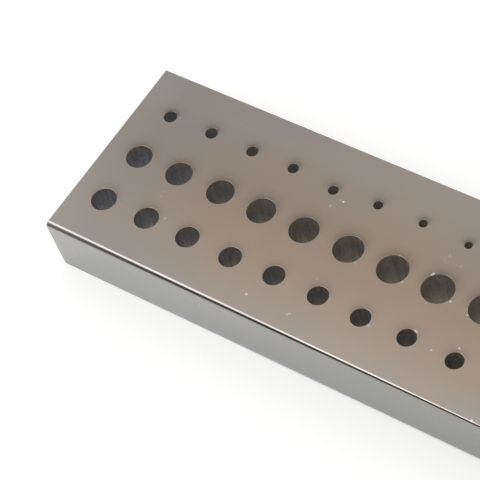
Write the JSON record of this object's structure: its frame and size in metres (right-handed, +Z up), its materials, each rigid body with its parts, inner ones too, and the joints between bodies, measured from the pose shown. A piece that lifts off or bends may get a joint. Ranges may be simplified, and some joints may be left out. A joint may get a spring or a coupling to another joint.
{
  "type": "riveting stake block",
  "caption": "Flat steel bar drilled right through with rows of graduated round holes, set under small rivets, staffs and arbors while they are punched or riveted.",
  "frame": {"origin": "middle of the face that the bar stands on", "axes": "+X along the bar, from the end with the widest small hole to the end with the narrowest; +Y across it towards the row of the smallest holes; +Z up through its thickness"},
  "size_m": [0.088, 0.03, 0.0097],
  "materials": {
    "plated_steel": "satin polished nickel plate"
  },
  "bodies": {
    "root": {"stake_block": "plated_steel"}
  },
  "joints": []
}
